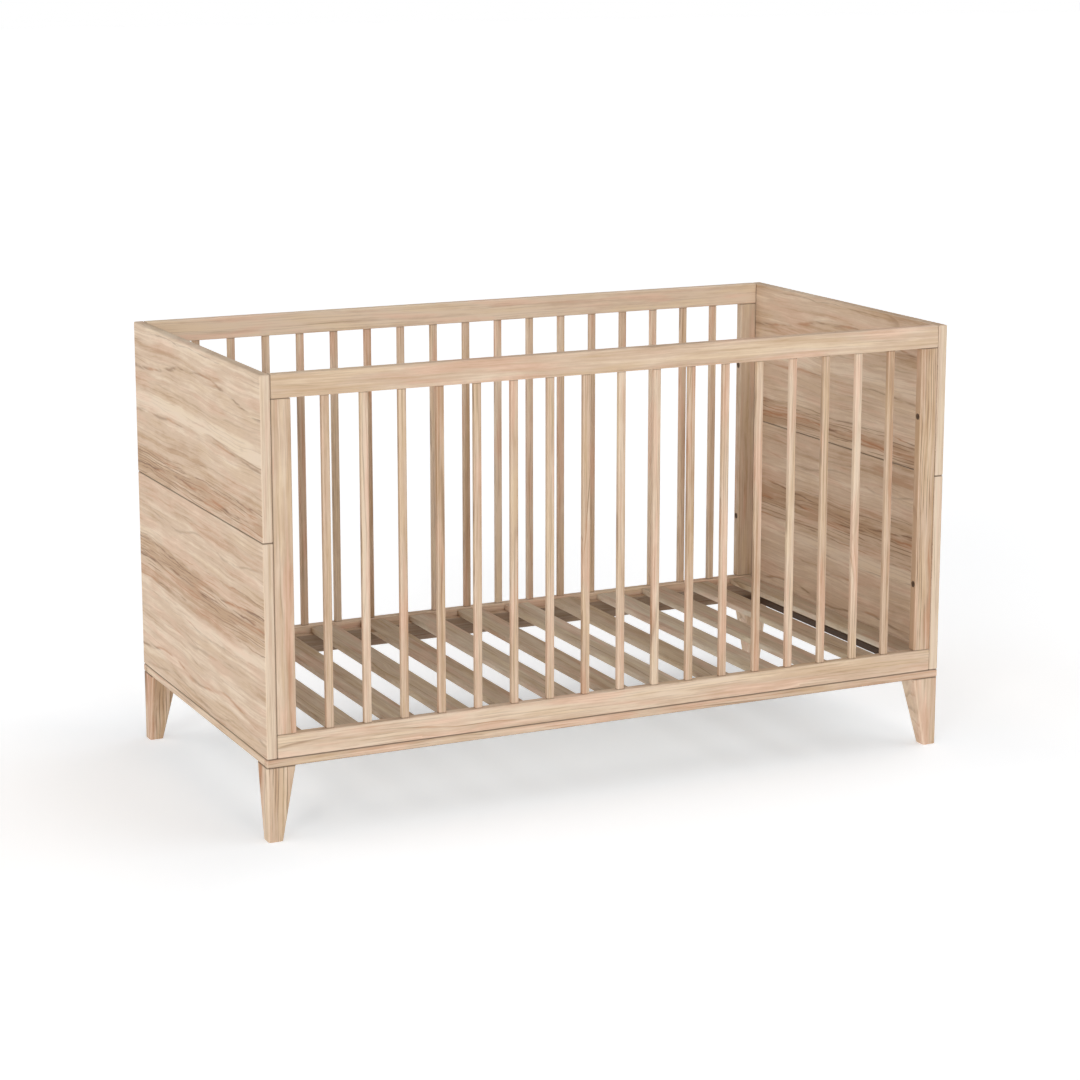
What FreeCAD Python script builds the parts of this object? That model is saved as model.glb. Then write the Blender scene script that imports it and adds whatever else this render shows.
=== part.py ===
import FreeCAD, Part
import os

# Cot bed: two solid board ends, two slatted sides, a plinth on four tapered legs and
# a slatted mattress base whose height can be changed.
# Millimetres. +X runs along the length, +Y across the width from front to back, +Z up.
# The origin is on the floor at the middle of the footprint.

# --- driving dimensions -------------------------------------------------------------
MATTRESS_LENGTH = 1400.0
MATTRESS_WIDTH = 700.0
BOARD = 20.0                    # thickness of end boards, rails, stiles and plinth strips
EDGE_ROUND = 3.0                # rounding along the edges of every board

LEG_HEIGHT = 141.0
LEG_TOP_SIDE = 56.0
LEG_FOOT_SIDE = 29.0
LEG_CORNER_ROUND = 5.0
LEG_RIM_ROUND = 1.5
PLINTH_HEIGHT = 16.0
LOWER_BOARD_HEIGHT = 401.0
UPPER_BOARD_HEIGHT = 304.0

RAIL_HEIGHT = 44.0
STILE_WIDTH = 38.0
SPINDLE_COUNT = 17              # on each side
SPINDLE_WIDTH = 15.0
SPINDLE_DEPTH = 12.0
TENON_LENGTH = 10.0             # part of a spindle held inside each rail

SLAT_COUNT = 13
SLAT_WIDTH = 56.0
SLAT_THICKNESS = 12.0
SLAT_ROUND = 2.0
SLAT_TOP_BELOW_RAIL_TOP = 3.0   # at the lowest base height
BASE_CLEARANCE = 2.0            # between the base and the cot on every side
BASE_RAIL_HEIGHT = 26.0

PIN_DIAMETER = 8.0
PIN_PROJECTION = 22.0
PIN_EMBEDDED = 14.0
PIN_TIP_CHAMFER = 1.0
PIN_GAP = 0.3                   # air left between a pin and the slat above it
PIN_FROM_SIDE = 34.0            # pin axis to the inner face of the nearer side
BASE_STEP = 140.0               # distance between two base heights
BASE_HEIGHTS = 3

SCREW_FROM_STILE_MIDDLE = 171.0
SCREW_SHANK_DIAMETER = 7.0
SCREW_HEAD_DIAMETER = 11.0
SCREW_HEAD_LENGTH = 4.0
SCREW_SOCKET_WIDTH = 5.0        # hexagon, across flats
SCREW_SOCKET_DEPTH = 2.5
SCREW_EMBEDDED = 14.0
COUNTERBORE_DIAMETER = 12.0
COUNTERBORE_DEPTH = 20.0

DOWEL_DIAMETER = 8.0
DOWEL_LENGTH = 40.0
BOARD_DOWEL_PLACES = (-250.0, -90.0, 90.0, 250.0)   # along the seam of each end

# --- derived sizes and heights ------------------------------------------------------
INNER_X = MATTRESS_LENGTH / 2
INNER_Y = MATTRESS_WIDTH / 2
OUTER_X = INNER_X + BOARD
OUTER_Y = INNER_Y + BOARD
SIDE_Y = INNER_Y + BOARD / 2                        # middle plane of each slatted side
PLINTH_TOP = LEG_HEIGHT + PLINTH_HEIGHT
SEAM_Z = PLINTH_TOP + LOWER_BOARD_HEIGHT
TOTAL_HEIGHT = SEAM_Z + UPPER_BOARD_HEIGHT
BOTTOM_RAIL_TOP = PLINTH_TOP + RAIL_HEIGHT
TOP_RAIL_BOTTOM = TOTAL_HEIGHT - RAIL_HEIGHT
STILE_MIDDLE_X = INNER_X - STILE_WIDTH / 2
STILE_MIDDLE_Z = (BOTTOM_RAIL_TOP + TOP_RAIL_BOTTOM) / 2
SCREW_HEIGHTS = (STILE_MIDDLE_Z - SCREW_FROM_STILE_MIDDLE, STILE_MIDDLE_Z + SCREW_FROM_STILE_MIDDLE)
SLAT_TOP = BOTTOM_RAIL_TOP - SLAT_TOP_BELOW_RAIL_TOP
SLAT_BOTTOM = SLAT_TOP - SLAT_THICKNESS
BASE_X = INNER_X - BASE_CLEARANCE
BASE_Y = INNER_Y - BASE_CLEARANCE
PIN_Y = INNER_Y - PIN_FROM_SIDE
LOWEST_PIN_Z = SLAT_BOTTOM - PIN_GAP - PIN_DIAMETER / 2
LEG_DOWEL_MIDDLE_Z = LEG_HEIGHT + PLINTH_HEIGHT / 2
LEG_DOWEL_INSET = LEG_TOP_SIDE * 0.65               # from the outer corner, along the strip

ENDS = {"left": -1, "right": 1}
SIDES = {"front": -1, "back": 1}


# --- building blocks ----------------------------------------------------------------
def box_between(low, high):
    """Box given by any two opposite corners."""
    corner = [min(a, b) for a, b in zip(low, high)]
    size = [abs(a - b) for a, b in zip(low, high)]
    return Part.makeBox(size[0], size[1], size[2], FreeCAD.Vector(*corner))


def rounded_board(low, high, radius):
    """Board with all twelve edges rounded."""
    board = box_between(low, high)
    return board.makeFillet(radius, board.Edges)


def rod(middle, axis, diameter, length):
    """Round bar centred on a point, along a unit axis."""
    direction = FreeCAD.Vector(*axis)
    start = FreeCAD.Vector(*middle) - direction * (length / 2)
    return Part.makeCylinder(diameter / 2, length, start, direction)


def dowel(middle):
    """Upright wooden dowel, also used to cut its own hole."""
    return rod(middle, (0, 0, 1), DOWEL_DIAMETER, DOWEL_LENGTH)


def save(name, shape):
    shape.exportStep("parts/" + name + ".step")


# --- where the fixings are ----------------------------------------------------------
def end_dowels(end):
    """Dowels that join the upper and the lower board of one end."""
    x = end * (INNER_X + BOARD / 2)
    return [dowel((x, y, SEAM_Z)) for y in BOARD_DOWEL_PLACES]


def stile_dowels(end, side):
    """Dowels that join one stile to the rails above and below it."""
    heights = (BOTTOM_RAIL_TOP, TOP_RAIL_BOTTOM)
    return [dowel((end * STILE_MIDDLE_X, side * SIDE_Y, z)) for z in heights]


def leg_dowels(end, side):
    """Dowels that run from a leg through the plinth into the rail and the end board."""
    under_rail = (end * (OUTER_X - LEG_DOWEL_INSET), side * SIDE_Y, LEG_DOWEL_MIDDLE_Z)
    end_board_x = end * (INNER_X + BOARD / 2)
    under_board = (end_board_x, side * (OUTER_Y - LEG_DOWEL_INSET), LEG_DOWEL_MIDDLE_Z)
    return [dowel(under_rail), dowel(under_board)]


def corner_dowels():
    """All leg dowels, one pair at each corner."""
    dowels = []
    for end in ENDS.values():
        for side in SIDES.values():
            dowels += leg_dowels(end, side)
    return dowels


def side_screw_places(end, side):
    """Points where the axes of one stile's two screws cross the end's inner face."""
    return [(end * INNER_X, side * SIDE_Y, z) for z in SCREW_HEIGHTS]


# --- ends ---------------------------------------------------------------------------
def end_board(end, bottom, top):
    """One horizontal board of an end, with the holes for dowels, screws and pins."""
    low = (end * INNER_X, -OUTER_Y, bottom)
    high = (end * OUTER_X, OUTER_Y, top)
    board = rounded_board(low, high, EDGE_ROUND)
    holes = end_dowels(end) + corner_dowels()
    for side in SIDES.values():
        for x, y, z in side_screw_places(end, side):
            middle_x = x + end * SCREW_EMBEDDED / 2
            holes.append(rod((middle_x, y, z), (1, 0, 0), SCREW_SHANK_DIAMETER, SCREW_EMBEDDED))
        for step in range(BASE_HEIGHTS):
            middle = (end * (INNER_X + PIN_EMBEDDED / 2), side * PIN_Y, LOWEST_PIN_Z + step * BASE_STEP)
            holes.append(rod(middle, (1, 0, 0), PIN_DIAMETER, PIN_EMBEDDED))
    return board.cut(holes)


# --- slatted sides ------------------------------------------------------------------
def spindle_positions():
    """X of the middle of each spindle, with equal gaps between the two stiles."""
    clear = 2 * (INNER_X - STILE_WIDTH)
    gap = (clear - SPINDLE_COUNT * SPINDLE_WIDTH) / (SPINDLE_COUNT + 1)
    pitch = gap + SPINDLE_WIDTH
    first = -pitch * (SPINDLE_COUNT - 1) / 2
    return [first + pitch * i for i in range(SPINDLE_COUNT)]


def spindle(x, side):
    """Upright bar with rounded long edges, tenoned into both rails."""
    y = side * SIDE_Y
    low = (x - SPINDLE_WIDTH / 2, y - SPINDLE_DEPTH / 2, BOTTOM_RAIL_TOP - TENON_LENGTH)
    high = (x + SPINDLE_WIDTH / 2, y + SPINDLE_DEPTH / 2, TOP_RAIL_BOTTOM + TENON_LENGTH)
    bar = box_between(low, high)
    upright = [edge for edge in bar.Edges if edge.tangentAt(0).cross(FreeCAD.Vector(0, 0, 1)).Length < 0.5]
    return bar.makeFillet(EDGE_ROUND, upright)


def side_rail(side, bottom):
    """Top or bottom rail of a side, mortised for the spindles and drilled for dowels."""
    low = (-INNER_X, side * INNER_Y, bottom)
    high = (INNER_X, side * OUTER_Y, bottom + RAIL_HEIGHT)
    holes = corner_dowels() + [spindle(x, side) for x in spindle_positions()]
    for end in ENDS.values():
        holes += stile_dowels(end, side)
    return rounded_board(low, high, EDGE_ROUND).cut(holes)


def stile(end, side):
    """Upright between the rails, screwed to the end through two counterbored holes."""
    inner_x = end * (INNER_X - STILE_WIDTH)
    low = (inner_x, side * INNER_Y, BOTTOM_RAIL_TOP)
    high = (end * INNER_X, side * OUTER_Y, TOP_RAIL_BOTTOM)
    holes = stile_dowels(end, side)
    for _, y, z in side_screw_places(end, side):
        bore_middle = (inner_x + end * COUNTERBORE_DEPTH / 2, y, z)
        holes.append(rod(bore_middle, (1, 0, 0), COUNTERBORE_DIAMETER, COUNTERBORE_DEPTH))
        shank_middle = (inner_x + end * STILE_WIDTH / 2, y, z)
        holes.append(rod(shank_middle, (1, 0, 0), SCREW_SHANK_DIAMETER, STILE_WIDTH))
    return rounded_board(low, high, EDGE_ROUND).cut(holes)


def connector_screw(end, place):
    """Screw from the floor of the counterbore into the end board, with a socket head."""
    face_x, y, z = place
    head_x = face_x - end * (STILE_WIDTH - COUNTERBORE_DEPTH)
    tip_x = face_x + end * SCREW_EMBEDDED
    shank_middle = ((head_x + tip_x) / 2, y, z)
    shank = rod(shank_middle, (1, 0, 0), SCREW_SHANK_DIAMETER, abs(tip_x - head_x))
    head_middle = (head_x - end * SCREW_HEAD_LENGTH / 2, y, z)
    head = rod(head_middle, (1, 0, 0), SCREW_HEAD_DIAMETER, SCREW_HEAD_LENGTH)
    socket_x = head_x - end * SCREW_HEAD_LENGTH
    corners = []
    for i in range(7):
        turn = FreeCAD.Rotation(FreeCAD.Vector(1, 0, 0), 60.0 * i)
        reach = turn.multVec(FreeCAD.Vector(0, 0, SCREW_SOCKET_WIDTH / 3 ** 0.5))
        corners.append(FreeCAD.Vector(socket_x, y, z) + reach)
    hexagon = Part.Face(Part.makePolygon(corners))
    socket = hexagon.extrude(FreeCAD.Vector(end * SCREW_SOCKET_DEPTH, 0, 0))
    return shank.fuse(head).cut(socket).removeSplitter()


# --- plinth and legs ----------------------------------------------------------------
def long_plinth_strip(side):
    """Strip under one slatted side and the thickness of both ends."""
    low = (-OUTER_X, side * INNER_Y, LEG_HEIGHT)
    high = (OUTER_X, side * OUTER_Y, PLINTH_TOP)
    return rounded_board(low, high, EDGE_ROUND).cut(corner_dowels())


def short_plinth_strip(end):
    """Strip under one end, between the two long strips."""
    low = (end * INNER_X, -INNER_Y, LEG_HEIGHT)
    high = (end * OUTER_X, INNER_Y, PLINTH_TOP)
    return rounded_board(low, high, EDGE_ROUND).cut(corner_dowels())


def leg(end, side):
    """Square leg: the two outer faces are upright and the two inner faces slope outwards."""
    def ring(z, width):
        inner_x = end * (OUTER_X - width)
        inner_y = side * (OUTER_Y - width)
        outline = [(end * OUTER_X, side * OUTER_Y), (inner_x, side * OUTER_Y),
                   (inner_x, inner_y), (end * OUTER_X, inner_y)]
        if end == side:
            outline.reverse()    # so that every leg's outline turns the same way
        return [FreeCAD.Vector(x, y, z) for x, y in outline]

    foot = ring(0, LEG_FOOT_SIDE)
    top = ring(LEG_HEIGHT, LEG_TOP_SIDE)
    outlines = [foot, top]
    for i in range(4):
        j = (i + 1) % 4
        outlines.append([foot[i], foot[j], top[j], top[i]])
    faces = [Part.Face(Part.makePolygon(points + points[:1])) for points in outlines]
    solid = Part.makeSolid(Part.makeShell(faces))
    upright = [edge for edge in solid.Edges if edge.BoundBox.ZLength > LEG_HEIGHT / 2]
    solid = solid.makeFillet(LEG_CORNER_ROUND, upright)
    rims = [edge for edge in solid.Edges if edge.BoundBox.ZLength < 0.01]
    solid = solid.makeFillet(LEG_RIM_ROUND, rims)
    return solid.cut(leg_dowels(end, side))


# --- mattress base ------------------------------------------------------------------
def base_slats():
    """Slats across the width, evenly spaced from one end of the base to the other."""
    pitch = (2 * BASE_X - SLAT_WIDTH) / (SLAT_COUNT - 1)
    slats = []
    for i in range(SLAT_COUNT):
        start = -BASE_X + pitch * i
        low = (start, -BASE_Y, SLAT_BOTTOM)
        high = (start + SLAT_WIDTH, BASE_Y, SLAT_TOP)
        slats.append(rounded_board(low, high, SLAT_ROUND))
    return Part.makeCompound(slats)


def base_rail(side):
    """Long rail that carries the ends of the slats."""
    low = (-BASE_X, side * (BASE_Y - BOARD), SLAT_BOTTOM - BASE_RAIL_HEIGHT)
    high = (BASE_X, side * BASE_Y, SLAT_BOTTOM)
    return rounded_board(low, high, SLAT_ROUND)


def support_pins():
    """Four pins in the lowest holes of the ends; the end slats rest on them."""
    pins = []
    for end in ENDS.values():
        for side in SIDES.values():
            middle_x = end * (INNER_X + (PIN_EMBEDDED - PIN_PROJECTION) / 2)
            length = PIN_PROJECTION + PIN_EMBEDDED
            pin = rod((middle_x, side * PIN_Y, LOWEST_PIN_Z), (1, 0, 0), PIN_DIAMETER, length)
            rims = [edge for edge in pin.Edges if edge.BoundBox.XLength < 0.01]
            pins.append(pin.makeChamfer(PIN_TIP_CHAMFER, rims))
    return Part.makeCompound(pins)


# --- write every piece --------------------------------------------------------------
def main():
    os.makedirs("parts", exist_ok=True)
    dowels = corner_dowels()
    screws = []
    for end_name, end in ENDS.items():
        save(end_name + "_end_lower_board", end_board(end, PLINTH_TOP, SEAM_Z))
        save(end_name + "_end_upper_board", end_board(end, SEAM_Z, TOTAL_HEIGHT))
        save(end_name + "_plinth_strip", short_plinth_strip(end))
        dowels += end_dowels(end)
        for side_name, side in SIDES.items():
            save(side_name + "_" + end_name + "_leg", leg(end, side))
            save(side_name + "_" + end_name + "_stile", stile(end, side))
            dowels += stile_dowels(end, side)
            screws += [connector_screw(end, place) for place in side_screw_places(end, side)]
    for side_name, side in SIDES.items():
        save(side_name + "_plinth_strip", long_plinth_strip(side))
        save(side_name + "_bottom_rail", side_rail(side, PLINTH_TOP))
        save(side_name + "_top_rail", side_rail(side, TOP_RAIL_BOTTOM))
        save("base_" + side_name + "_rail", base_rail(side))
        for number, x in enumerate(spindle_positions(), start=1):
            save("%s_spindle_%02d" % (side_name, number), spindle(x, side))
    save("base_slats", base_slats())
    save("support_pins", support_pins())
    save("connector_screws", Part.makeCompound(screws))
    save("wooden_dowels", Part.makeCompound(dowels))


main()
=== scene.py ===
import itertools
import math

import bpy
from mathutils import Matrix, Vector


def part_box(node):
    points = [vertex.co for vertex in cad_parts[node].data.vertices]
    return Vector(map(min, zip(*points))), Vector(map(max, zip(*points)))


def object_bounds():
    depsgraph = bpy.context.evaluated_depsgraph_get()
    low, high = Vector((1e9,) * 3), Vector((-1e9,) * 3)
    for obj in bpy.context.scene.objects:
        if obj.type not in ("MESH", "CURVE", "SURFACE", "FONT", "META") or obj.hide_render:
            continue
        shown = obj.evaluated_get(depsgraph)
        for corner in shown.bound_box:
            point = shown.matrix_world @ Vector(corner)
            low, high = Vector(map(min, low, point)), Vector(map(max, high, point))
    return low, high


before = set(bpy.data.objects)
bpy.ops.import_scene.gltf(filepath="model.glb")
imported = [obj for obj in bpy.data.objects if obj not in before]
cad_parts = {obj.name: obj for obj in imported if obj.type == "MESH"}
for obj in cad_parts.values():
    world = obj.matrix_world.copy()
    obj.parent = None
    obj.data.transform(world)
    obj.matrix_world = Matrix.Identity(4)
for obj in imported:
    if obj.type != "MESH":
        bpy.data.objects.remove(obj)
CAD_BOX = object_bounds()
SIDES = ("front", "back")
ENDS = ("left", "right")

# ---------------------------------------------------------------- camera
# Place in metres, angles in degrees, lens and sensor in millimetres, rise as a share of the view's width.
CAMERA_PLACE = (-2.304, -4.835, 1.631)
CAMERA_TURN = -25.504
CAMERA_DIP = 11.473
CAMERA_LENS = 90.60
CAMERA_SENSOR = 36.0
CAMERA_RISE = -0.0556
CAMERA_REACH = 200.0


def place_camera():
    """A long lens at the front left of the cot, well above its top rail."""
    lens = bpy.data.cameras.new("cot_camera")
    lens.sensor_width = CAMERA_SENSOR
    lens.lens = CAMERA_LENS
    lens.shift_y = CAMERA_RISE
    lens.clip_end = CAMERA_REACH
    camera = bpy.data.objects.new("cot_camera", lens)
    camera.location = CAMERA_PLACE
    camera.rotation_euler = (math.radians(90.0 - CAMERA_DIP), 0.0, math.radians(CAMERA_TURN))
    bpy.context.scene.collection.objects.link(camera)
    bpy.context.scene.camera = camera


# ---------------------------------------------------------------- node helpers
# Where a Mix node keeps its factor, first, second and result, for each kind of data that it mixes.
MIX_SOCKETS = {"RGBA": (0, 6, 7, 2), "VECTOR": (0, 4, 5, 1)}


class Nodes:
    """Adds nodes to one tree. An input may be a number, a tuple or another node's output."""

    def __init__(self, tree):
        self.tree = tree

    def add(self, kind, inputs=None, **settings):
        """A node of one kind, with its inputs given by name or by number."""
        node = self.tree.nodes.new(kind)
        for name, value in settings.items():
            setattr(node, name, value)
        for name, value in (inputs or {}).items():
            self.feed(node.inputs[name], value)
        return node

    def feed(self, socket, value):
        """Links an output to a socket, or gives the socket a value of its own."""
        if isinstance(value, bpy.types.NodeSocket):
            self.tree.links.new(value, socket)
        else:
            socket.default_value = value

    def math(self, operation, *values):
        """The result of one sum on numbers."""
        return self.add("ShaderNodeMath", dict(enumerate(values)), operation=operation).outputs[0]

    def vector(self, operation, *values):
        """The result of one sum on vectors."""
        return self.add("ShaderNodeVectorMath", dict(enumerate(values)), operation=operation).outputs[0]

    def parts(self, vector):
        """The X, Y and Z of a vector."""
        return self.add("ShaderNodeSeparateXYZ", {0: vector}).outputs

    def joined(self, x, y, z):
        """The vector with this X, Y and Z."""
        return self.add("ShaderNodeCombineXYZ", {0: x, 1: y, 2: z}).outputs[0]

    def noise(self, vector, scale, detail=2.0, roughness=0.5):
        """Noise stretched by a scale for each axis, which makes it long where the scale is small."""
        stretched = self.vector("MULTIPLY", vector, scale)
        values = {"Vector": stretched, "Scale": 1.0, "Detail": detail, "Roughness": roughness}
        return self.add("ShaderNodeTexNoise", values).outputs[0]

    def swing(self, noise, amount):
        """A noise turned to swing to both sides of 0, times an amount."""
        return self.math("MULTIPLY", self.math("SUBTRACT", noise, 0.5), amount)

    def ramp(self, value, low, high, start=0.0, end=1.0, smooth=True):
        """Start below low, end above high, and a smooth or straight change between them."""
        kind = "SMOOTHSTEP" if smooth else "LINEAR"
        values = {"Value": value, "From Min": low, "From Max": high, "To Min": start, "To Max": end}
        return self.add("ShaderNodeMapRange", values, interpolation_type=kind).outputs[0]

    def fade(self, value, low, high, start=1.0):
        """Start below low, 0 above high, and a smooth change between them."""
        return self.ramp(value, low, high, start, 0.0)

    def mix(self, factor, first, second, blend="MIX", kind="RGBA"):
        """From first at factor 0 to second at factor 1, for colours or, with kind VECTOR, for vectors."""
        *places, result = MIX_SOCKETS[kind]
        inputs = dict(zip(places, (factor, first, second)))
        return self.add("ShaderNodeMix", inputs, data_type=kind, blend_type=blend).outputs[result]

    def tint(self, factor, body, shade):
        """A colour multiplied by another, as far as the factor says."""
        return self.mix(factor, body, self.mix(1.0, body, shade, "MULTIPLY"))

    def group(self, name, inputs):
        """The outputs of one of the shader groups below."""
        return self.add("ShaderNodeGroup", inputs, node_tree=GROUPS[name]).outputs

    def show(self, shader):
        """Makes a shader the surface of this tree's material."""
        self.add("ShaderNodeOutputMaterial", {"Surface": shader.outputs[0]})


def new_group(name, inputs, outputs):
    """A shader group with named sockets. Inputs are (name, kind, value), outputs are (name, kind)."""
    tree = bpy.data.node_groups.new(name, "ShaderNodeTree")
    for label, kind, value in inputs:
        socket = tree.interface.new_socket(label, in_out="INPUT", socket_type="NodeSocket" + kind)
        socket.default_value = value
    for label, kind in outputs:
        tree.interface.new_socket(label, in_out="OUTPUT", socket_type="NodeSocket" + kind)
    start = tree.nodes.new("NodeGroupInput").outputs
    end = tree.nodes.new("NodeGroupOutput").inputs
    return Nodes(tree), start, end


def colour(red, green, blue):
    """A screen colour, 0 to 255, as the linear values that shaders take."""
    linear = []
    for part in (red, green, blue):
        part = part / 255.0
        linear.append(part / 12.92 if part <= 0.04045 else ((part + 0.055) / 1.055) ** 2.4)
    return (*linear, 1.0)


# ---------------------------------------------------------------- wood
PALE_WOOD = colour(228, 206, 182)
PLAIN_WOOD = colour(211, 184, 158)
TAN_WOOD = colour(188, 155, 125)
LINE_WOOD = colour(126, 92, 66)
RUST_WOOD = colour(178, 124, 86)
# GAP_SHADE is the dark of the joints, which is partly stain and partly painted shade in their grooves. It
# is also the painted shade on faces under the base and inside the screw holes.
GAP_SHADE = colour(74, 54, 39)
ROSE_TINT = (1.05, 0.94, 0.93, 1.0)
GOLD_TINT = (1.01, 1.0, 0.93, 1.0)
GREY_TINT = (0.88, 0.95, 0.98, 1.0)

# How fine each layer of the figure is: cells per metre along the grain, across it and into the board.
SWAY_CELLS = (2.0, 3.4, 3.4)
RIPPLE_CELLS = (9.0, 24.0, 24.0)
KNOT_CELLS = (4.2, 13.0, 9.0)
BAND_CELLS = (0.8, 17.0, 8.0)
STREAK_CELLS = (3.0, 120.0, 60.0)
BLOTCH_CELLS = (11.0, 48.0, 40.0)
FIBRE_CELLS = (34.0, 1300.0, 1300.0)
HUE_CELLS = (5.0, 34.0, 20.0)
RING_DRIFT_CELLS = (1.1, 7.0, 6.0)
RING_SHOW_CELLS = (3.4, 26.0, 10.0)
DARK_DRIFT_CELLS = (2.2, 22.0, 12.0)
DARK_BREAK_CELLS = (6.0, 75.0, 30.0)
DARK_BROAD_CELLS = (2.0, 48.0, 20.0)

RIPPLE_SHARE = 0.3
RINGS_PER_METRE = 22.0
DARK_STREAKS_PER_METRE = 135.0
DRIFT_IN_RINGS = 4.0

# Knots: which cells have one, the reach of it and of its heart in cells, and the grain's swell in metres.
KNOT_CHOICE = (0.74, 0.78)
KNOT_REACH = (0.0, 0.42)
KNOT_HEART = (0.02, 0.075)
KNOT_SWELL = 0.016

# Rings and dark streaks: where in each one its line starts and ends, and which parts of a noise show it.
RING_LINE = (0.91, 0.975)
RING_END = (0.98, 1.0)
RING_SHOW = (0.48, 0.70)
RING_STRENGTH = 0.75
RING_IN_STREAKS = 0.3
DARK_LINE = (0.60, 0.86)
DARK_END = (0.90, 1.0)
DARK_BREAK = (0.45, 0.56)
DARK_BROAD = (0.40, 0.62)
LEAST_DARK_STREAKS = 0.2

# What each layer adds to the tone, and what fibres and lines do to the height of the surface.
BAND_TONE = 1.6
STREAK_TONE = 1.9
BLOTCH_TONE = 1.3
RING_TONE = 0.35
DARK_TONE = 0.40
FIBRE_TONE = 0.26
FIBRE_HEIGHT = 0.6
LINE_DEPTH = 0.5

# Colours: the tones and hues over which one turns into the next, and how far lines and edges show.
PALE_TO_PLAIN = (-0.55, 0.05)
PLAIN_TO_TAN = (0.0, 0.66)
GOLD_HUES = (0.36, 0.5)
ROSE_HUES = (0.5, 0.66)
RUST_HUES = (0.48, 0.58)
LINE_COVER = 0.80
EDGE_WEAR = 0.35

# How squarely a surface faces one side, from an edge to a flat.
EDGE_TURN = (0.80, 0.97)


def bend_grain(n, grain, across, wave):
    """The place across the grain, moved by a slow sway and a quick ripple."""
    sway = n.swing(n.noise(grain, SWAY_CELLS), wave)
    ripple = n.swing(n.noise(grain, RIPPLE_CELLS), n.math("MULTIPLY", wave, RIPPLE_SHARE))
    return n.math("ADD", across, n.math("ADD", sway, ripple))


def grow_knots(n, place, amount):
    """Small knots: how far the grain swells round each, and its dark heart."""
    cells = n.add("ShaderNodeTexVoronoi", {"Scale": 1.0, "Randomness": 1.0})
    n.feed(cells.inputs["Vector"], n.vector("MULTIPLY", place, KNOT_CELLS))
    off = cells.outputs["Distance"]
    chosen = n.math("MULTIPLY", n.ramp(n.parts(cells.outputs["Color"])[0], *KNOT_CHOICE), amount)
    swell = n.math("MULTIPLY", n.fade(off, *KNOT_REACH), chosen)
    heart = n.math("MULTIPLY", n.fade(off, *KNOT_HEART), chosen)
    return swell, heart


def repeat_across(n, flow, drift, per_metre):
    """0 to 1 over and over across the grain, so many times per metre, with a drift along it."""
    drifted = n.math("MULTIPLY", drift, DRIFT_IN_RINGS)
    return n.math("FRACT", n.math("ADD", drifted, n.math("MULTIPLY", n.parts(flow)[1], per_metre)))


def grow_rings(n, flow, streaks, lines):
    """Growth rings: each deepens slowly and ends in a thin dark line that comes and goes."""
    ring = repeat_across(n, flow, n.noise(flow, RING_DRIFT_CELLS, detail=1.5), RINGS_PER_METRE)
    thin = n.math("MULTIPLY", n.ramp(ring, *RING_LINE), n.fade(ring, *RING_END))
    show = n.ramp(n.noise(flow, RING_SHOW_CELLS, detail=3.0), *RING_SHOW)
    strength = n.math("ADD", show, n.math("MULTIPLY", streaks, RING_IN_STREAKS))
    line = n.math("MULTIPLY", n.math("MULTIPLY", thin, strength), n.math("MULTIPLY", lines, RING_STRENGTH))
    shade = n.math("MULTIPLY", n.math("POWER", ring, 3.0), show)
    return line, shade


def grow_dark_streaks(n, flow, amount):
    """Close dark streaks where the amount asks for them, a trace elsewhere, and darker wood round them."""
    drift = n.noise(flow, DARK_DRIFT_CELLS)
    close = repeat_across(n, flow, drift, DARK_STREAKS_PER_METRE)
    crisp = n.math("MULTIPLY", n.ramp(close, *DARK_LINE), n.fade(close, *DARK_END))
    broken = n.ramp(n.noise(flow, DARK_BREAK_CELLS, detail=3.0), *DARK_BREAK)
    least = n.math("MAXIMUM", amount, LEAST_DARK_STREAKS)
    crisp = n.math("MULTIPLY", n.math("MULTIPLY", crisp, broken), least)
    dark = n.math("MULTIPLY", n.ramp(n.noise(flow, DARK_BROAD_CELLS), *DARK_BROAD), amount)
    return crisp, dark


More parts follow.
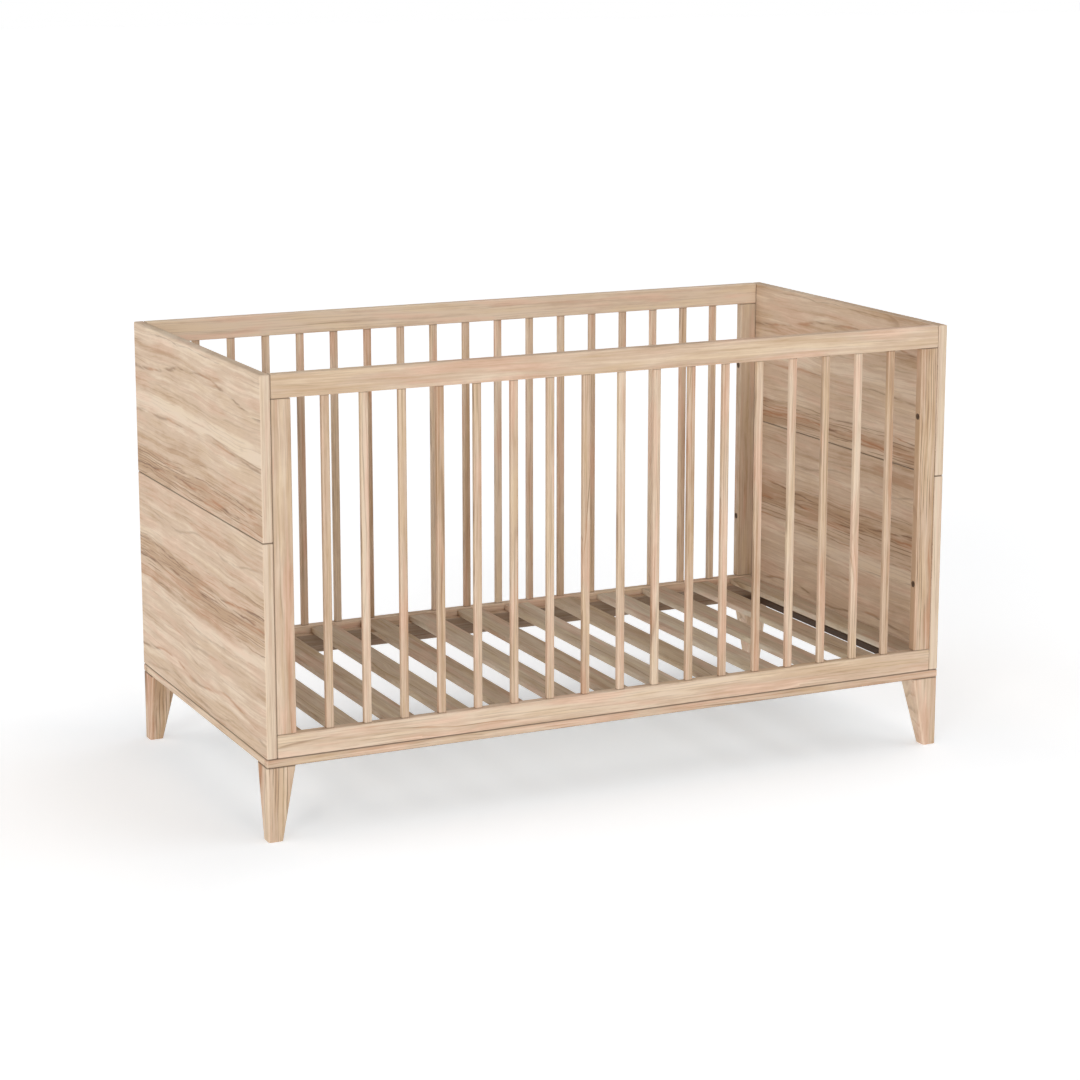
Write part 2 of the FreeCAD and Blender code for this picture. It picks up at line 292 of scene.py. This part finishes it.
def build_figure_group():
    """The figure of the timber. In its space X is along the grain, Y across it and Z into the board.

    It works in metres. Tone is 0 for plain wood, below 0 for paler wood and above 0 for tan wood."""
    inputs = [
        ("Grain", "Vector", (0.0, 0.0, 0.0)),
        ("Wave", "Float", 0.05),
        ("Breadth", "Float", 1.0),
        ("Streaks", "Float", 0.0),
        ("Lines", "Float", 1.0),
        ("Knots", "Float", 0.5),
    ]
    outputs = [(label, "Float") for label in ("Tone", "Line", "Hue", "Fibre", "Height")]
    n, start, end = new_group("timber_figure", inputs, outputs)
    along, across, depth = n.parts(start["Grain"])
    bent = bend_grain(n, start["Grain"], across, start["Wave"])
    swell, heart = grow_knots(n, n.joined(along, bent, depth), start["Knots"])
    bent = n.math("ADD", bent, n.math("MULTIPLY", swell, KNOT_SWELL))
    flow = n.joined(along, n.math("DIVIDE", bent, start["Breadth"]), depth)

    bands = n.noise(flow, BAND_CELLS, detail=3.0, roughness=0.6)
    streaks = n.noise(flow, STREAK_CELLS, detail=4.0, roughness=0.7)
    blotch = n.noise(flow, BLOTCH_CELLS, detail=4.0, roughness=0.65)
    fibre = n.noise(flow, FIBRE_CELLS, detail=2.0, roughness=0.6)
    ring_line, ring_shade = grow_rings(n, flow, start["Streaks"], start["Lines"])
    crisp, dark = grow_dark_streaks(n, flow, start["Streaks"])
    line = n.math("MAXIMUM", n.math("MAXIMUM", ring_line, crisp), heart)

    tone = n.swing(bands, BAND_TONE)
    layers = (
        n.swing(streaks, STREAK_TONE),
        n.swing(blotch, BLOTCH_TONE),
        n.math("MULTIPLY", ring_shade, RING_TONE),
        n.math("MULTIPLY", dark, DARK_TONE),
        n.swing(fibre, FIBRE_TONE),
    )
    for layer in layers:
        tone = n.math("ADD", tone, layer)
    depth_of_lines = n.math("MULTIPLY", line, LINE_DEPTH)
    height = n.math("SUBTRACT", n.math("MULTIPLY", fibre, FIBRE_HEIGHT), depth_of_lines)

    n.feed(end["Tone"], tone)
    n.feed(end["Line"], line)
    n.feed(end["Hue"], n.noise(flow, HUE_CELLS, detail=2.5))
    n.feed(end["Fibre"], fibre)
    n.feed(end["Height"], height)
    return n.tree


# Long lines that run the length of an end board, in metres: height above the ground, rise and fall,
# length of one wave, where its crest is along Y, half width, and strength.
LONG_LINES = [
    (0.850, 0.004, 0.90, 0.10, 0.0020, 0.40),
    (0.796, 0.019, 0.76, -0.03, 0.0055, 0.58),
    (0.752, 0.004, 0.60, 0.20, 0.0040, 0.22),
    (0.690, 0.006, 1.30, 0.05, 0.0050, 0.48),
    (0.640, 0.004, 0.50, -0.20, 0.0020, 0.28),
    (0.609, 0.004, 0.70, -0.10, 0.0022, 0.70),
    (0.597, 0.003, 0.42, -0.30, 0.0016, 0.60),
    (0.585, 0.004, 0.55, 0.10, 0.0040, 0.90),
    (0.573, 0.003, 0.46, -0.16, 0.0018, 0.75),
    (0.522, 0.003, 0.40, 0.28, 0.0030, 0.28),
    (0.492, 0.010, 0.34, -0.02, 0.0045, 0.32),
    (0.437, 0.004, 0.80, -0.20, 0.0018, 0.55),
    (0.418, 0.011, 0.95, 0.36, 0.0034, 0.85),
    (0.404, 0.007, 0.52, 0.05, 0.0018, 0.60),
    (0.393, 0.005, 0.44, -0.26, 0.0040, 0.85),
    (0.378, 0.004, 0.60, 0.14, 0.0020, 0.65),
    (0.350, 0.003, 0.90, 0.20, 0.0022, 0.60),
    (0.318, 0.008, 0.80, 0.30, 0.0030, 0.42),
    (0.280, 0.008, 0.50, 0.26, 0.0045, 0.30),
    (0.212, 0.009, 0.36, 0.20, 0.0055, 0.56),
    (0.178, 0.010, 0.42, 0.14, 0.0050, 0.35),
]

# Wide pale (below 0) and tan (above 0) bands, given the same way.
WIDE_BANDS = [
    (0.838, 0.010, 0.90, 0.10, 0.020, -0.27),
    (0.786, 0.019, 0.76, -0.03, 0.016, 0.16),
    (0.711, 0.009, 1.20, -0.02, 0.022, -0.49),
    (0.590, 0.004, 0.70, 0.00, 0.034, 0.25),
    (0.480, 0.012, 0.50, 0.10, 0.040, -0.15),
    (0.398, 0.010, 0.90, 0.20, 0.042, 0.24),
    (0.328, 0.007, 0.70, 0.30, 0.022, -0.41),
    (0.250, 0.010, 0.60, 0.00, 0.030, -0.14),
    (0.200, 0.009, 0.36, 0.20, 0.014, -0.41),
]


# How far the long lines wander off their waves, in metres, and how fine their wander and their wear are.
LINE_WANDER = 0.020
WANDER_CELLS = (9.0, 30.0, 1.0)
WEAR_CELLS = (9.0, 90.0, 1.0)

# The stretch of a noise over which a line turns from worn to full, and its strength in each state.
LINE_WEAR = (0.42, 0.56, 0.2, 1.3)

# The share of its half width in which a wide band has its full strength.
BAND_CORE = 0.3


def build_long_lines_group():
    """The long lines and bands of an end board, from its Along and Across places in metres."""
    inputs = [("Along", "Float", 0.0), ("Across", "Float", 0.0)]
    n, start, end = new_group("long_lines", inputs, [("Line", "Float"), ("Band", "Float")])
    along = start["Along"]
    spot = n.joined(along, start["Across"], 0.0)
    wander = n.swing(n.noise(spot, WANDER_CELLS, detail=3.0), LINE_WANDER)
    across = n.math("ADD", start["Across"], wander)
    worn = n.ramp(n.noise(spot, WEAR_CELLS, detail=3.0), *LINE_WEAR)

    def off_wave(height, swing, wave, crest):
        """How far a place is from one wave, straight across the board."""
        angle = n.math("MULTIPLY", n.math("SUBTRACT", along, crest), math.tau / wave)
        place = n.math("MULTIPLY_ADD", n.math("COSINE", angle), swing, height)
        return n.math("ABSOLUTE", n.math("SUBTRACT", across, place))

    line = 0.0
    for *wave, half_width, strength in LONG_LINES:
        line = n.math("MAXIMUM", line, n.fade(off_wave(*wave), 0.0, half_width, strength))
    band = 0.0
    for *wave, half_width, strength in WIDE_BANDS:
        band = n.math("ADD", band, n.fade(off_wave(*wave), half_width * BAND_CORE, half_width, strength))
    n.feed(end["Line"], n.math("MULTIPLY", line, worn))
    n.feed(end["Band"], band)
    return n.tree


def build_colour_group():
    """The colours of oiled pale timber, from its tone, dark lines, warmer patches, edges, dark joints and
    painted shade.
    """
    inputs = [
        ("Tone", "Float", 0.0),
        ("Line", "Float", 0.0),
        ("Hue", "Float", 0.5),
        ("Edge", "Float", 0.0),
        ("Gap And Shade", "Float", 0.0),
        ("Warmth", "Float", 0.5),
        ("Grey", "Float", 0.0),
        ("Shift", "Float", 0.0),
    ]
    n, start, end = new_group("timber_colour", inputs, [("Color", "Color")])
    tone = n.math("ADD", start["Tone"], start["Shift"])
    rose = n.math("MULTIPLY", n.ramp(start["Hue"], *ROSE_HUES), start["Warmth"])
    gold = n.math("MULTIPLY", n.fade(start["Hue"], *GOLD_HUES), start["Warmth"])
    body = n.mix(n.ramp(tone, *PALE_TO_PLAIN), PALE_WOOD, PLAIN_WOOD)
    body = n.mix(n.ramp(tone, *PLAIN_TO_TAN), body, TAN_WOOD)
    body = n.tint(rose, body, ROSE_TINT)
    body = n.tint(gold, body, GOLD_TINT)
    mark = n.mix(n.ramp(start["Hue"], *RUST_HUES), LINE_WOOD, RUST_WOOD)
    body = n.mix(n.math("MULTIPLY", start["Line"], LINE_COVER), body, mark)
    body = n.mix(n.math("MULTIPLY", start["Edge"], EDGE_WEAR), body, PALE_WOOD)
    body = n.tint(start["Grey"], body, GREY_TINT)
    # Dark joints and painted shade: joint grooves, faces under the base, and the insides of screw holes.
    body = n.mix(start["Gap And Shade"], body, GAP_SHADE)
    n.feed(end["Color"], body)
    return n.tree


def build_edge_group():
    """1 on the rounded edges of a squared piece, which face between two sides, and 0 on its flats."""
    n, start, end = new_group("worn_edges", [("Normal", "Vector", (0.0, 0.0, 1.0))], [("Edge", "Float")])
    x, y, z = n.parts(n.vector("ABSOLUTE", start["Normal"]))
    widest = n.math("MAXIMUM", n.math("MAXIMUM", x, y), z)
    n.feed(end["Edge"], n.fade(widest, *EDGE_TURN))
    return n.tree


# ---------------------------------------------------------------- materials
AXES = {"X": 0, "Y": 1, "Z": 2}

# The stretch in which most of a noise lies.
MOST_NOISE = (0.3, 0.7)

# Joints between pieces and screw holes, in metres, and how dark they are. The joints' dark is partly stain
# and partly painted shade in their grooves; the holes' dark is painted shade.
GAP_HALF = 0.0006
GAP_FADE = 0.0018
GAP_STRENGTH = 0.52
BORE_RADIUS = 0.0062
BORE_FADE = 0.0006
BORE_STRENGTH = 0.65

# Oiled wood: its roughness from close fibres to open ones, its shine, and its grain as the hand feels it.
CLOSE_FIBRE = 0.54
OPEN_FIBRE = 0.68
WOOD_SHINE = 0.3
GRAIN_RELIEF = {"Strength": 0.25, "Distance": 0.0006}

# End boards: sway of the grain in metres, streaks all over, breadth of the figure on the narrow edges.
BOARD_WAVE = 0.034
BOARD_STREAKS = 0.06
EDGE_BREADTH = 0.4
EDGE_FACE_TONE = -0.35
EDGE_FACING = (0.6, 0.8)
DARK_BAND_CORE = 0.35
BOARD_FIGURE = {"Lines": 0.7, "Knots": 0.25}
BOARD_COLOUR = {"Warmth": 0.45, "Grey": 0.15}

# Rows of like pieces: how far apart in the timber two can be, in metres, and how far their tones spread.
ROW_SPREAD = (9.0, 5.0, 3.0)
ROW_TONE_SPREAD = 0.2
ROW_KNOTS = 0.6
ROW_WARMTH = 0.9

# Steel: linear colours, and how much darker the dull patches of the plating are.
SCREW_STEEL = (0.035, 0.033, 0.031, 1.0)
PIN_STEEL = (0.62, 0.62, 0.63, 1.0)
DULL_SHARE = 0.75
DULL_PATCHES = (0.35, 0.65)
STEEL_RELIEF = {"Strength": 0.1, "Distance": 0.0002}


def new_material(name):
    """An empty material and the helper that adds its nodes."""
    material = bpy.data.materials.new(name)
    material.use_nodes = True
    material.node_tree.nodes.clear()
    return material, Nodes(material.node_tree)


def grain_space(n, order, shift):
    """The object's own coordinates with the first axis of order along the grain, moved by shift.

    The coordinates as they were and the normal come with it."""
    spot = n.add("ShaderNodeTexCoord")
    parts = n.parts(spot.outputs["Object"])
    turned = n.joined(*(parts[AXES[axis]] for axis in order))
    return n.vector("ADD", turned, shift), parts, spot.outputs["Normal"]


def joint_shade(n, parts, joints, strength):
    """The dark thin gap at each joint, partly stain and partly painted shade in its groove. Given the
    plane of a face, it paints that whole face dark. Joints is a list of (axis, place along that axis).
    """
    shade = 0.0
    for axis, place in joints:
        off = n.math("ABSOLUTE", n.math("SUBTRACT", parts[AXES[axis]], place))
        shade = n.math("MAXIMUM", shade, n.fade(off, GAP_HALF, GAP_HALF + GAP_FADE, strength))
    return shade


def bore_shade(n, parts, bores):
    """Painted shade inside round holes that run along X. Bores is a list of (Y, Z, radius)."""
    shade = 0.0
    for across, height, radius in bores:
        off_y = n.math("SUBTRACT", parts[1], across)
        off_z = n.math("SUBTRACT", parts[2], height)
        off = n.math("SQRT", n.math("MULTIPLY_ADD", off_y, off_y, n.math("MULTIPLY", off_z, off_z)))
        shade = n.math("MAXIMUM", shade, n.fade(off, radius, radius + BORE_FADE, BORE_STRENGTH))
    return shade


def finish_wood(n, normal, figure, colouring):
    """Joins a figure to its colour, edge wear, roughness and bump on the piece's own shader.

    Colouring holds the other inputs of the colour group, and any that replace the figure's own."""
    inputs = {label: figure[label] for label in ("Tone", "Line", "Hue")}
    inputs["Edge"] = n.group("edge", {"Normal": normal})["Edge"]
    inputs.update(colouring)
    bump = n.add("ShaderNodeBump", {"Height": figure["Height"], **GRAIN_RELIEF})
    shader = n.add("ShaderNodeBsdfPrincipled", {
        "Base Color": n.group("colour", inputs)["Color"],
        "Roughness": n.ramp(figure["Fibre"], *MOST_NOISE, CLOSE_FIBRE, OPEN_FIBRE),
        "Normal": bump.outputs[0],
        "Specular IOR Level": WOOD_SHINE,
    })
    n.show(shader)


def wood(
    name, order, shift, wave=0.012, breadth=0.8, streaks=0.2, knots=0.5, warmth=0.6, tone=0.0,
    joints=(), shaded_faces=(), dark=1.0, bores=(), grey=0.0,
):
    """One straight piece's timber: order gives its grain, joints the places where it meets its neighbours.

    The faces in its second list of places, under the base, are painted dark to stand for their shade, and
    dark says how dark."""
    material, n = new_material(name)
    grain, parts, normal = grain_space(n, order, shift)
    figure = n.group("figure", {
        "Grain": grain, "Wave": wave, "Breadth": breadth, "Streaks": streaks, "Lines": 1.0, "Knots": knots,
    })
    gap_and_shade = joint_shade(n, parts, joints, GAP_STRENGTH)
    # Painted shade: the faces under the base and the insides of the screw holes.
    if shaded_faces:
        gap_and_shade = n.math("MAXIMUM", gap_and_shade, joint_shade(n, parts, shaded_faces, dark))
    if bores:
        gap_and_shade = n.math("MAXIMUM", gap_and_shade, bore_shade(n, parts, bores))
    finish_wood(n, normal, figure, {"Gap And Shade": gap_and_shade, "Warmth": warmth, "Grey": grey, "Shift": tone})
    return material


def board_wood(name, shift, dark_band, joints):
    """A wide end board: grain along Y, long wavy lines, and upright grain on its two narrow edges.

    Dark band is the height, half width and strength of its band of close dark grain."""
    material, n = new_material(name)
    grain, parts, normal = grain_space(n, "YZX", shift)
    facing = n.ramp(n.parts(n.vector("ABSOLUTE", normal))[1], *EDGE_FACING)
    flat = n.math("SUBTRACT", 1.0, facing)
    upright = n.vector("ADD", n.joined(parts[2], parts[0], parts[1]), shift)
    height, half_width, strength = dark_band
    far = n.math("DIVIDE", n.math("ABSOLUTE", n.math("SUBTRACT", parts[2], height)), half_width)
    band = n.math("ADD", BOARD_STREAKS, n.fade(far, DARK_BAND_CORE, 1.0, strength))
    figure = n.group("figure", {
        "Grain": n.mix(facing, grain, upright, kind="VECTOR"),
        "Wave": n.math("MULTIPLY", flat, BOARD_WAVE),
        "Breadth": n.ramp(facing, 0.0, 1.0, 1.0, EDGE_BREADTH),
        "Streaks": n.math("MULTIPLY", band, flat),
        **BOARD_FIGURE,
    })
    drawn = n.group("long_lines", {"Along": parts[1], "Across": parts[2]})
    line = n.math("MULTIPLY", drawn["Line"], flat)
    tone = n.math("MULTIPLY_ADD", facing, EDGE_FACE_TONE, n.math("MULTIPLY", drawn["Band"], flat))
    finish_wood(n, normal, figure, {
        "Line": n.math("MAXIMUM", figure["Line"], line),
        "Tone": n.math("ADD", figure["Tone"], tone),
        "Gap And Shade": joint_shade(n, parts, joints, GAP_STRENGTH),
        "Shift": 0.0,
        **BOARD_COLOUR,
    })
    return material


def repeated_wood(
    name, order, first, pitch, seed, wave=0.008, breadth=0.7, streaks=0.55, tone=0.0, grey=0.0, joints=(),
):
    """Timber for a row of like pieces along X: each takes its own stretch of figure and its own tone."""
    material, n = new_material(name)
    grain, parts, normal = grain_space(n, order, (0.0, 0.0, 0.0))
    place = n.math("DIVIDE", n.math("SUBTRACT", parts[0], first - pitch / 2), pitch)
    number = n.math("ADD", n.math("FLOOR", place), seed)
    chance = n.add("ShaderNodeTexWhiteNoise", {"W": number}, noise_dimensions="1D").outputs
    figure = n.group("figure", {
        "Grain": n.vector("ADD", grain, n.vector("MULTIPLY", chance["Color"], ROW_SPREAD)),
        "Wave": wave,
        "Breadth": breadth,
        "Streaks": streaks,
        "Lines": 1.0,
        "Knots": ROW_KNOTS,
    })
    low, high = tone - ROW_TONE_SPREAD, tone + ROW_TONE_SPREAD
    finish_wood(n, normal, figure, {
        "Gap And Shade": joint_shade(n, parts, joints, GAP_STRENGTH),
        "Warmth": ROW_WARMTH,
        "Grey": grey,
        "Shift": n.ramp(chance["Value"], 0.0, 1.0, low, high, smooth=False),
    })
    return material


def metal(name, base, smooth, rough, grit):
    """Machined steel with a slightly uneven plating. Grit is how fine it is, in cells per metre."""
    material, n = new_material(name)
    spot = n.add("ShaderNodeTexCoord").outputs["Object"]
    cloud = n.noise(spot, (grit, grit, grit), detail=3.0)
    scratch = n.noise(spot, (grit * 4, grit * 0.4, grit * 4), detail=2.0)
    dull = tuple(part * DULL_SHARE for part in base[:3]) + (1.0,)
    bump = n.add("ShaderNodeBump", {"Height": scratch, **STEEL_RELIEF})
    shader = n.add("ShaderNodeBsdfPrincipled", {
        "Base Color": n.mix(n.ramp(cloud, *DULL_PATCHES), base, dull),
        "Roughness": n.ramp(scratch, *MOST_NOISE, smooth, rough),
        "Normal": bump.outputs[0],
        "Metallic": 1.0,
    })
    n.show(shader)
    return material


def paint_node(node, material):
    """Puts one material on every slot of a CAD node."""
    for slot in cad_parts[node].material_slots:
        slot.material = material


# ---------------------------------------------------------------- places
def middle(node, axis):
    """The middle of a node along one axis."""
    low, high = (corner[AXES[axis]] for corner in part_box(node))
    return (low + high) / 2


def inner_face(node, axis):
    """The face of a node that looks at the middle of the cot along one axis, as (axis, place)."""
    low, high = (corner[AXES[axis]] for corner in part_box(node))
    return axis, min((low, high), key=abs)


def level(node, side):
    """The height of a node's lower (0) or upper (1) face."""
    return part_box(node)[side][2]


SEAM = level("left_end_lower_board", 1)
BOARD_FOOT = level("left_end_lower_board", 0)
RAIL_TOP = level("front_bottom_rail", 1)
RAIL_FOOT = level("front_top_rail", 0)
LEG_TOP = level("front_left_leg", 1)
BOARD_JOINTS = [inner_face(f"{end}_end_lower_board", "X") for end in ENDS]


# ---------------------------------------------------------------- pieces
# Bands of close dark grain on the end boards: height from the seam, half width and strength.
UPPER_DARK_BAND = (0.026, 0.050, 0.85)
LOWER_DARK_BAND = (-0.165, 0.055, 0.85)

# How far apart in the timber the pieces of one kind are cut: along the grain, across it and into it.
RAIL_STEP = (1.7, 0.61, 0.0)
STILE_STEP = (2.3, 0.47, 0.0)
END_STRIP_STEP = (1.9, 0.53, 0.0)
LEG_STEP = (0.9, 0.71, 0.3)

# Tone and streaks of each kind of long piece on a side. The rail at the top of the back is paler.
RAIL_LOOKS = {"top_rail": (-0.12, 0.15), "bottom_rail": (-0.26, 0.35), "plinth_strip": (0.0, 0.6)}
BACK_TOP_TONE = -0.3

# Tone and streaks of the stiles, and the grey of the two at the back, which is painted shade for their
# faces inside the cot.
STILE_LOOK = (-0.05, 0.25)
STREAKY_STILE = ("front", "right")
STREAKY_STILE_LOOK = (0.12, 1.0)
BACK_STILE_SHADE = 0.6

# How dark the painted shade on the inner faces under the base is, on the end strips and on the long strips
# and rails.
END_INNER_SHADE = 1.0
LONG_INNER_SHADE = 0.62

# Tone and streaks of each leg.
LEG_LOOKS = {
    "front_left": (-0.05, 1.0),
    "front_right": (-0.34, 0.35),
    "back_left": (0.22, 1.0),
    "back_right": (0.0, 0.6),
}

SPINDLE_TONE = -0.1
SLAT_COUNT = 13
SLAT_WIDTH = 0.056


def finish_ends():
    """Horizontal boards with grain along Y. Close dark grain lies above the seam and again below it."""
    joints = [("Z", SEAM), ("Z", BOARD_FOOT)]
    for end, start in (("left", 0.0), ("right", 3.7)):
        boards = (
            ("upper", (start, 0.4, 0.0), UPPER_DARK_BAND),
            ("lower", (start + 1.3, 2.1, 0.0), LOWER_DARK_BAND),
        )
        for part, shift, (height, half_width, strength) in boards:
            dark_band = (SEAM + height, half_width, strength)
            material = board_wood(f"{end}_{part}_board_wood", shift, dark_band, joints)
            paint_node(f"{end}_end_{part}_board", material)


def stretch_of_timber(step, number):
    """The place in the timber of the piece with this number."""
    return tuple(part * number for part in step)


def screw_bores(stile):
    """The two counterbored screw holes of a stile, one low and one high."""
    low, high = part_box("connector_screws")
    across = middle(stile, "Y")
    head = high[1] - abs(across)
    return [(across, height, BORE_RADIUS) for height in (low[2] + head, high[2] - head)]


def finish_rail(side, part, number):
    """A long rail or plinth strip with grain along X. A plinth strip's inner face is painted dark as
    shade.
    """
    shift = stretch_of_timber(RAIL_STEP, number)
    tone, streaks = RAIL_LOOKS[part]
    if (side, part) == ("back", "top_rail"):
        tone += BACK_TOP_TONE
    joints = [("Z", BOARD_FOOT), ("Z", LEG_TOP)]
    shaded_faces = []
    # The plinth strip's inner face gets painted shade.
    if part == "plinth_strip":
        shaded_faces = [inner_face(f"{side}_plinth_strip", "Y")]
    else:
        joints = BOARD_JOINTS + joints
    material = wood(
        f"{side}_{part}_wood", "XZY", shift, streaks=streaks, warmth=0.8, tone=tone,
        joints=joints, shaded_faces=shaded_faces, dark=LONG_INNER_SHADE,
    )
    paint_node(f"{side}_{part}", material)


def finish_stile(side, end, number):
    """A stile with grain along Z and its two screw holes."""
    shift = stretch_of_timber(STILE_STEP, number)
    tone, streaks = STREAKY_STILE_LOOK if (side, end) == STREAKY_STILE else STILE_LOOK
    crossings = [("Z", BOARD_FOOT), ("Z", RAIL_TOP), ("Z", RAIL_FOOT)]
    stile = f"{side}_{end}_stile"
    # The back stiles' grey is painted shade.
    material = wood(
        f"{stile}_wood", "ZXY", shift, wave=0.014, streaks=streaks, knots=1.0, warmth=0.9, tone=tone,
        joints=crossings + BOARD_JOINTS, bores=screw_bores(stile),
        grey=BACK_STILE_SHADE if side == "back" else 0.0,
    )
    paint_node(stile, material)


def finish_end_strip(end, number):
    """A plinth strip under an end, with grain along Y and its inner face painted dark as shade."""
    shift = stretch_of_timber(END_STRIP_STEP, number)
    strip = f"{end}_plinth_strip"
    material = wood(
        f"{strip}_wood", "YZX", shift, streaks=0.5, joints=[("Z", BOARD_FOOT), ("Z", LEG_TOP)],
        shaded_faces=[inner_face(strip, "X")], dark=END_INNER_SHADE,
    )
    paint_node(strip, material)


def finish_sides():
    """The rails, stiles and plinth, each from its own stretch of timber."""
    number = itertools.count(1)
    for side in SIDES:
        for part in RAIL_LOOKS:
            finish_rail(side, part, next(number))
        for end in ENDS:
            finish_stile(side, end, next(number))
    for end in ENDS:
        finish_end_strip(end, next(number))


def finish_legs():
    """Legs with upright grain, each with its own tone and amount of streaks."""
    for number, (corner, (tone, streaks)) in enumerate(LEG_LOOKS.items(), 1):
        shift = stretch_of_timber(LEG_STEP, number)
        material = wood(
            f"{corner}_leg_wood", "ZXY", shift, wave=0.018, streaks=streaks, knots=streaks,
            warmth=0.9, tone=tone, joints=[("Z", LEG_TOP)],
        )
        paint_node(f"{corner}_leg", material)


def finish_spindles():
    """Every spindle is cut from another stretch of timber."""
    first = middle("front_spindle_01", "X")
    pitch = middle("front_spindle_02", "X") - first
    joints = [("Z", RAIL_TOP), ("Z", RAIL_FOOT)]
    for side, seed in (("front", 3.0), ("back", 57.0)):
        material = repeated_wood(
            f"{side}_spindle_wood", "ZXY", first, pitch, seed, tone=SPINDLE_TONE, joints=joints,
        )
        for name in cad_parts:
            if name.startswith(f"{side}_spindle_"):
                paint_node(name, material)


def finish_base():
    """The slats and the two rails that carry them."""
    low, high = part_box("base_slats")
    pitch = (high[0] - low[0] - SLAT_WIDTH) / (SLAT_COUNT - 1)
    first = low[0] + SLAT_WIDTH / 2
    slats = repeated_wood(
        "slat_wood", "YXZ", first, pitch, 11.0, wave=0.014, breadth=0.8, streaks=0.25, grey=1.0,
    )
    paint_node("base_slats", slats)
    for number, side in enumerate(SIDES):
        shift = (4.1 + number, 0.9 + number, 0.0)
        rail = f"base_{side}_rail"
        # These rails lie in the shade under the slats: their darker, greyer tone and their dark inner
        # faces are painted shade.
        material = wood(
            f"{rail}_wood", "XZY", shift, tone=0.3,
            shaded_faces=[inner_face(rail, "Y")], dark=LONG_INNER_SHADE, grey=0.6,
        )
        paint_node(rail, material)


def finish_fittings():
    """The dowels, the screws and the pins that the base rests on."""
    dowels = wood("dowel_wood", "XYZ", (0.3, 0.2, 0.1), breadth=0.3, tone=-0.3)
    screws = metal("dark_screw_steel", SCREW_STEEL, smooth=0.38, rough=0.52, grit=900.0)
    pins = metal("plated_pin_steel", PIN_STEEL, smooth=0.22, rough=0.38, grit=700.0)
    paint_node("wooden_dowels", dowels)
    paint_node("connector_screws", screws)
    paint_node("support_pins", pins)


# ---------------------------------------------------------------- room
FLOOR_REACH = 40.0
FLOOR_COLOUR = (0.92, 0.925, 0.935, 1.0)
FLOOR_ROUGHNESS = 0.8
FLOOR_SHINE = 0.1

# The floor's own painted glow under the cot, beside it and away from it, and the stretches over which one
# turns into the next, in metres outward from the cot's outline. The glow also lights the cot from below,
# and its dimmer stretch under the cot is a painted shadow.
GLOW_UNDER = (0.275, 0.318, 0.350, 1.0)
GLOW_NEAR = (0.335, 0.35, 0.362, 1.0)
GLOW_FAR = (0.42, 0.42, 0.42, 1.0)
UNDER_TO_NEAR = (-0.18, 0.10)
NEAR_TO_FAR = (0.05, 0.45)

REFLECTED_WHITE = 0.25

# Lamps: name, turn round the cot (0 in front, -90 at its left), height and breadth in degrees, strength.
LAMPS = [
    ("left_lamp", -90.0, 25.0, 70.0, 0.86),
    ("low_left_lamp", -90.0, 6.0, 18.0, 0.20),
    ("front_left_lamp", -45.0, 17.0, 22.0, 0.86),
    ("front_lamp", 0.0, 17.0, 22.0, 0.62),
    ("front_right_lamp", 45.0, 55.0, 70.0, 0.21),
    ("right_lamp", 90.0, 55.0, 70.0, 1.16),
    ("back_left_lamp", -135.0, 55.0, 70.0, 0.26),
]


def floor_finish():
    """Matt white, with a painted glow of its own that is dimmest under the cot, where it stands for the
    cot's shadow.
    """
    material, n = new_material("pale_floor")
    spot = n.parts(n.vector("ABSOLUTE", n.add("ShaderNodeTexCoord").outputs["Object"]))
    outside = [n.math("SUBTRACT", spot[axis], CAD_BOX[1][axis]) for axis in (0, 1)]
    outside = n.math("MAXIMUM", *outside)
    glow = n.mix(n.ramp(outside, *UNDER_TO_NEAR), GLOW_UNDER, GLOW_NEAR)
    glow = n.mix(n.ramp(outside, *NEAR_TO_FAR), glow, GLOW_FAR)
    shader = n.add("ShaderNodeBsdfPrincipled", {
        "Base Color": FLOOR_COLOUR,
        "Roughness": FLOOR_ROUGHNESS,
        "Specular IOR Level": FLOOR_SHINE,
        "Emission Color": glow,
        "Emission Strength": 1.0,
    })
    n.show(shader)
    return material


def lay_floor():
    """A plain pale floor that glows as painted light, wide enough to meet the white of the room."""
    mesh = bpy.data.meshes.new("floor")
    ground = CAD_BOX[0][2]
    corners = [(-1, -1), (1, -1), (1, 1), (-1, 1)]
    mesh.from_pydata([(x * FLOOR_REACH, y * FLOOR_REACH, ground) for x, y in corners], [], [(0, 1, 2, 3)])
    mesh.materials.append(floor_finish())
    floor = bpy.data.objects.new("floor", mesh)
    bpy.context.scene.collection.objects.link(floor)


def whiten_room():
    """The room is white to look at and dim in reflections, and leaves the lighting to the lamps."""
    world = bpy.data.worlds.new("white_room")
    bpy.context.scene.world = world
    world.use_nodes = True
    n = Nodes(world.node_tree)
    path = n.add("ShaderNodeLightPath")
    background = world.node_tree.nodes.get("Background")
    background.inputs["Color"].default_value = (1.0, 1.0, 1.0, 1.0)
    dim = n.math("MULTIPLY", path.outputs["Is Glossy Ray"], REFLECTED_WHITE)
    n.feed(background.inputs["Strength"], n.math("ADD", path.outputs["Is Camera Ray"], dim))


def hang_lamps():
    """Broad soft lamps, brighter on the left and the front."""
    for name, turn, height, breadth, strength in LAMPS:
        lamp = bpy.data.lights.new(name, "SUN")
        lamp.energy = strength
        lamp.angle = math.radians(breadth)
        holder = bpy.data.objects.new(name, lamp)
        holder.rotation_euler = (math.radians(90.0 - height), 0.0, math.radians(turn))
        bpy.context.scene.collection.objects.link(holder)


place_camera()
GROUPS = {
    "figure": build_figure_group(),
    "long_lines": build_long_lines_group(),
    "colour": build_colour_group(),
    "edge": build_edge_group(),
}
finish_ends()
finish_sides()
finish_legs()
finish_spindles()
finish_base()
finish_fittings()
lay_floor()
whiten_room()
hang_lamps()
bpy.context.scene.view_settings.view_transform = "Standard"
